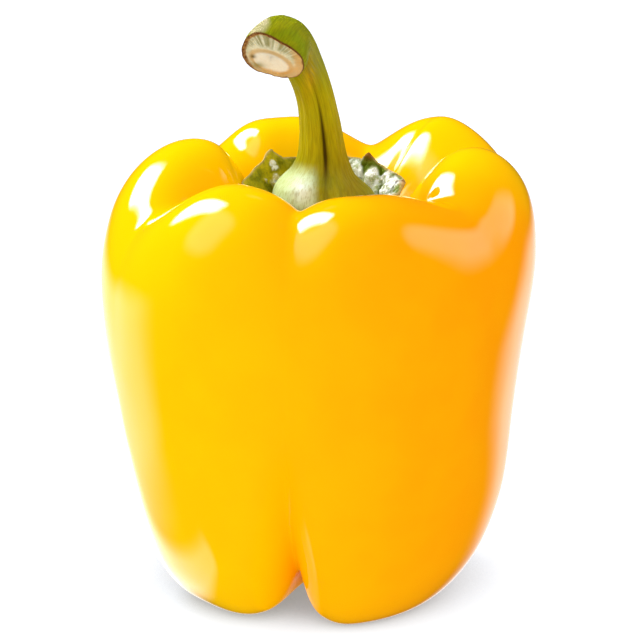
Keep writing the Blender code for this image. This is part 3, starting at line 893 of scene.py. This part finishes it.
# Painted shade: the grooves darken by their depth on the lower part of the stem, and the deepest gets a
# thin darker line.
groove_shade = times(tree, band(tree, groove, *GROOVE_SHADE), band(tree, along, *DEEP_ALONG))
stalk = coats(tree, OLIVE, [
    (band(tree, along, *LEAF_ALONG), 1, LEAF_GREEN),
    (band(tree, height, *BASE_HEIGHT), 1, BASE_GREEN),
    (blotches, 0.22, GOLD),
    (value_of(tree, "gold"), 1, GOLD),
    (value_of(tree, "amber"), 1, AMBER_GREEN),
    (value_of(tree, "scurf"), fine_streaks, SCURF),
    (streaks, 0.34, STREAK_BROWN_AND_GROOVE_SHADE),
    (groove_shade, 0.8, STREAK_BROWN_AND_GROOVE_SHADE),
    (band(tree, groove, *GROOVE_LINE), 0.8, GROOVE_LINE_SHADE),
])
hub = times(tree, band(tree, height, *HUB_TOP), band(tree, height, *HUB_FOOT))
# Painted sheen over real dust: the bloom lies thick and white on the hub's left front, the side lit by the
# softbox.
left_front = times(tree, band(tree, across, *DUST_SHEEN_LEFT), band(tree, inwards, *DUST_SHEEN_FRONT))
frosted = times(tree, fine_streaks, DUST_ON_STREAKS)
frosted = calculate(tree, "ADD", frosted, times(tree, fine, DUST_ON_GRAIN))
dust_and_sheen = times(tree, times(tree, hub, left_front), band(tree, frosted, *DUST_AND_SHEEN))
thin_dust = times(tree, times(tree, hub, fine_streaks), THIN_DUST)
bloom = tint(tree, value_of(tree, "frost_and_sheen"), STEM_BLOOM, PALE_BLOOM_AND_SHEEN)
stalk = coats(tree, stalk, [
    (calculate(tree, "MAXIMUM", dust_and_sheen, thin_dust), 1, bloom),
    (band(tree, value_of(tree, "dry"), *DRY_PATCH), 1, coats(tree, CORK, [(blotches, 0.65, SCURF)])),
    (band(tree, along, *BROWN_ALONG), 1, RIM_BROWN),
])

pith = value_of(tree, "pith")
spokes = times(tree, mottle(tree, vector_of(tree, "ray"), size=0.085), band(tree, pith, *RING_FROM))
outline = times(tree, band(tree, pith, *OUTLINE_OUTER), band(tree, pith, *OUTLINE_INNER))
border = band(tree, value_of(tree, "face_share"), *DRIED_FROM)
face = coats(tree, CREAM, [
    (spokes, 0.90, FACE_GREEN),
    (mottle(tree, place, size=0.0009, detail=3.0), 0.42, FACE_GREEN),
    (band(tree, pith, *PITH_EDGE), 1, coats(tree, PITH, [(fine, 0.12, TAN)])),
    (outline, 0.8, TAN),
    (value_of(tree, "moss"), 0.9, FACE_GREEN),
    (value_of(tree, "spot"), 1, STREAK_BROWN_AND_GROOVE_SHADE),
    (calculate(tree, "MAXIMUM", border, value_of(tree, "low_side")), 0.85, TAN),
    (value_of(tree, "cork"), 1, coats(tree, RIM_BROWN, [(mottle(tree, place, size=0.0006), 0.45, TAN)])),
])
finish = tint(tree, value_of(tree, "face"), stalk, face)
tree.links.new(finish, shader.inputs["Base Color"])
tree.links.new(band(tree, streaks, 0.0, 1.0, *STALK_ROUGHNESS), shader.inputs["Roughness"])
shader.inputs["Specular IOR Level"].default_value = 0.05
relief(tree, shader, streaks, distance=0.00004)
print("nodes in the stem's material:", len(tree.nodes))

# %% [markdown]
# ## The calyx's finish
# The leaf is green, darkened with painted shade where it lies low and folded in and pale where
# it is raised, olive on the smooth flap, and dusted with pale crumbs of bloom on its lumps. Its
# torn edge and its two dry tips are tan and brown.

# %% Paint the calyx
# The dark green is the leaf's colour and also painted shade in its low folds.
LEAF_DARK_AND_FOLD_SHADE, LEAF_PALE, CALYX_BLOOM = colour(84, 102, 10), colour(156, 168, 84), colour(252, 255, 250)
FLAP_OLIVE, FLAP_DARK = colour(204, 188, 20), colour(124, 126, 8)
EDGE_TAN, DRY_BROWN = colour(200, 176, 110), colour(140, 72, 20)
# Where raised folds turn pale out of the dark painted shade, by their lift in millimetres, how
# bloom covers them, and the tan edge
PALE_LIFT, BLOOM_COVER, CRUMBS_SHOW = (0.1, 0.8), (0.10, 0.60, 0.25, 1.0), 0.8
TAN_EDGE = (0.95, 0.99)

tree, shader = new_material("crumpled calyx leaf", calyx)
place = add(tree, "ShaderNodeTexCoord").outputs["Object"]
patches = mottle(tree, place, size=0.0026, detail=3.0)
fine = mottle(tree, place, size=0.00045, detail=3.0)
flakes = mottle(tree, place, size=0.0011, detail=4.0)
crumbs = specks(tree, place, size=0.00040, radius=0.6)
cover = calculate(tree, "MAXIMUM", band(tree, flakes, *BLOOM_COVER), times(tree, crumbs, CRUMBS_SHOW))
# Painted shade: the leaf stays dark where it lies low and folded in, and turns pale where it is raised.
leaf = coats(tree, LEAF_DARK_AND_FOLD_SHADE, [
    (band(tree, value_of(tree, "lift"), *PALE_LIFT), 1, LEAF_PALE),
    (value_of(tree, "flap"), 1, tint(tree, patches, FLAP_OLIVE, FLAP_DARK)),
    (value_of(tree, "bloom"), cover, CALYX_BLOOM),
    (band(tree, value_of(tree, "out"), *TAN_EDGE), 0.6, EDGE_TAN),
    (value_of(tree, "dry"), 1, DRY_BROWN),
])
tree.links.new(leaf, shader.inputs["Base Color"])
shader.inputs["Roughness"].default_value = 0.6
shader.inputs["Specular IOR Level"].default_value = 0.08
relief(tree, shader, fine, distance=0.00012)
print("nodes in the calyx's material:", len(tree.nodes))

# %% [markdown]
# ## Studio
# The photograph was lit for a white page: light comes from all round, a tall softbox stands
# behind on the left, and the table is white. The surroundings are bright for matt surfaces and
# dim in reflections, where four windows of light and the far part of the table stand for what
# the skin mirrors. Lamps could make the highlights too, but each would light the whole pepper,
# while a window that shows only in the gloss can be set for one highlight alone.

# %% Floor
FLOOR_HALF = 4.0
# The floor's base is a cool grey that cancels the yellow light bounced from the pepper; its white comes
# from its own glow.
FLOOR_WHITE, FLOOR_GLOW_TINT = (0.12, 0.14, 0.18, 1.0), (0.97, 0.985, 1.0, 1.0)
# The painted soft shadow in the floor's own glow: how far it reaches, where it lies, how open the
# sky is in it, and its glow
SHADOW_REACH, SHADOW_SIDE, SHADOW_OPEN = 0.024, {"Y": -0.8, "Z": 0.6}, (0.2, 0.92)
SHADOW_GLOW, OPEN_GLOW = 0.25, 1.05

floor_mesh = bpy.data.meshes.new("floor")
corners = [(x * FLOOR_HALF, y * FLOOR_HALF, 0.0) for x, y in ((-1, -1), (1, -1), (1, 1), (-1, 1))]
floor_mesh.from_pydata(corners, [], [(0, 1, 2, 3)])
floor = bpy.data.objects.new("floor", floor_mesh)
bpy.context.scene.collection.objects.link(floor)
tree, shader = new_material("white table", floor)
shader.inputs["Base Color"].default_value = FLOOR_WHITE
shader.inputs["Roughness"].default_value = 0.9
shader.inputs["Specular IOR Level"].default_value = 0.0
shader.inputs["Emission Color"].default_value = FLOOR_GLOW_TINT
# Painted shadow: the glow dims where an ambient occlusion, leaning towards the front, finds the pepper
# near.
towards_front = add(tree, "ShaderNodeCombineXYZ", SHADOW_SIDE).outputs[0]
inputs = {"Distance": SHADOW_REACH, "Normal": towards_front}
open_sky = add(tree, "ShaderNodeAmbientOcclusion", inputs, samples=8).outputs["AO"]
glow = band(tree, open_sky, *SHADOW_OPEN, SHADOW_GLOW, OPEN_GLOW)
tree.links.new(glow, shader.inputs["Emission Strength"])
floor.visible_glossy = False

# %% Softboxes
LIGHT_TARGET = Vector((0.0, 0.0, 0.06))


def direction(azimuth, rise):
    """The unit vector of an azimuth and a rise above level, both in degrees."""
    a, e = np.radians(azimuth), np.radians(rise)
    return Vector((np.cos(e) * np.cos(a), np.cos(e) * np.sin(a), np.sin(e)))


def softbox(name, azimuth, rise, distance, width, height, brightness):
    """A rectangular light that faces the pepper; its power is brightness times pi times its area."""
    data = bpy.data.lights.new(name, "AREA")
    data.shape = "RECTANGLE"
    data.size, data.size_y = width, height
    data.energy = brightness * np.pi * width * height
    lamp = bpy.data.objects.new(name, data)
    bpy.context.scene.collection.objects.link(lamp)
    away = direction(azimuth, rise)
    lamp.location = LIGHT_TARGET + distance * away
    lamp.rotation_mode = "QUATERNION"
    lamp.rotation_quaternion = away.to_track_quat("Z", "Y")
    lamp.visible_camera = lamp.visible_glossy = False
    return lamp


lamp = softbox("softbox", azimuth=146, rise=48, distance=0.9, width=0.25, height=0.50, brightness=20)
print("softbox power in watts:", round(lamp.data.energy, 2))

# %% Surroundings
ROOM, ROOM_IN_GLOSS = 1.04, 0.015
# Windows of light: azimuth and rise of the middle, half width and half height as tangents,
# radius of the corners, softness of the edge, roll in degrees, brightness
WINDOWS = [
    (147, 45, 0.15, 0.36, 0.10, 0.06, -26, 28.0),
    (5, 27, 0.22, 0.42, 0.21, 0.12, 37, 2.2),
    (194, 44, 0.24, 0.38, 0.21, 0.11, 0, 2.0),
    (137, -43, 0.75, 0.14, 0.13, 0.07, -29, 1.9),
]
# The white table as the skin mirrors it: only its far part, which this azimuth faces
TABLE_AT, TABLE_EDGE, TABLE_BRIGHTNESS = 103, (0.30, 0.62), 1.3
TABLE_HORIZON, TABLE_DEEPEST = (-0.05, -0.20), (-0.62, -0.38)


def make_window():
    """Light from a soft window: how far a direction, drawn on the window's plane, is from its edge.

    The distance is taken from a rectangle with round corners, and is negative inside it.
    """
    inputs = [(label, "NodeSocketVector", None) for label in ("Direction", "Middle", "Side", "Up")]
    inputs += [(label, "NodeSocketFloat", 0.3) for label in ("Half Width", "Half Height", "Corner", "Edge")]
    group, start, end = new_group("Soft window", inputs, [("Mask", "NodeSocketFloat")])
    reach = {}
    for label in ("Middle", "Side", "Up"):
        pair = {0: start.outputs["Direction"], 1: start.outputs[label]}
        reach[label] = add(group, "ShaderNodeVectorMath", pair, operation="DOT_PRODUCT").outputs["Value"]
    ahead = calculate(group, "MAXIMUM", reach["Middle"], 0.01)
    corner, edge = start.outputs["Corner"], start.outputs["Edge"]
    beyond = []
    for label, half in (("Side", "Half Width"), ("Up", "Half Height")):
        aside = calculate(group, "ABSOLUTE", calculate(group, "DIVIDE", reach[label], ahead))
        straight = calculate(group, "SUBTRACT", start.outputs[half], corner)
        beyond.append(calculate(group, "MAXIMUM", calculate(group, "SUBTRACT", aside, straight), 0.0))
    squares = [times(group, side, side) for side in beyond]
    away = calculate(group, "SQRT", calculate(group, "ADD", *squares))
    away = calculate(group, "SUBTRACT", away, corner)
    mask = band(group, away, edge, times(group, edge, -1.0))
    mask = times(group, mask, calculate(group, "GREATER_THAN", reach["Middle"], 0.0))
    group.links.new(mask, end.inputs["Mask"])
    return group


world = bpy.data.worlds.new("studio")
bpy.context.scene.world = world
world.use_nodes = True
world.cycles.sampling_method = "NONE"
tree = world.node_tree
background = tree.nodes["Background"]
background.inputs["Color"].default_value = (1.0, 1.0, 1.0, 1.0)
sky = add(tree, "ShaderNodeTexCoord").outputs["Generated"]
in_gloss = add(tree, "ShaderNodeLightPath").outputs["Is Glossy Ray"]
light = band(tree, in_gloss, 0.0, 1.0, ROOM, ROOM_IN_GLOSS)
window_group = make_window()
for azimuth, rise, half_width, half_height, corner, edge, roll, brightness in WINDOWS:
    middle, level = direction(azimuth, rise), direction(azimuth + 90, 0)
    side = level * np.cos(np.radians(roll)) + middle.cross(level) * np.sin(np.radians(roll))
    settings = {"Middle": middle, "Side": side, "Up": middle.cross(side)}
    settings |= {"Half Width": half_width, "Half Height": half_height, "Corner": corner, "Edge": edge}
    mask = add(tree, "ShaderNodeGroup", node_tree=window_group)
    tree.links.new(sky, mask.inputs["Direction"])
    for label, value in settings.items():
        mask.inputs[label].default_value = value
    seen = times(tree, mask.outputs["Mask"], in_gloss)
    light = calculate(tree, "ADD", light, times(tree, seen, brightness))
upwards = add(tree, "ShaderNodeSeparateXYZ", {0: sky}).outputs["Z"]
inputs = {0: sky, 1: direction(TABLE_AT, 0)}
facing = add(tree, "ShaderNodeVectorMath", inputs, operation="DOT_PRODUCT").outputs["Value"]
table = times(tree, band(tree, upwards, *TABLE_HORIZON), band(tree, facing, *TABLE_EDGE))
table = times(tree, table, band(tree, upwards, *TABLE_DEEPEST))
table = times(tree, table, in_gloss)
light = calculate(tree, "ADD", light, times(tree, table, TABLE_BRIGHTNESS))
tree.links.new(light, background.inputs["Strength"])
bpy.context.scene.view_settings.view_transform = "Standard"
print("windows:", len(WINDOWS), "- nodes in the world:", len(tree.nodes))
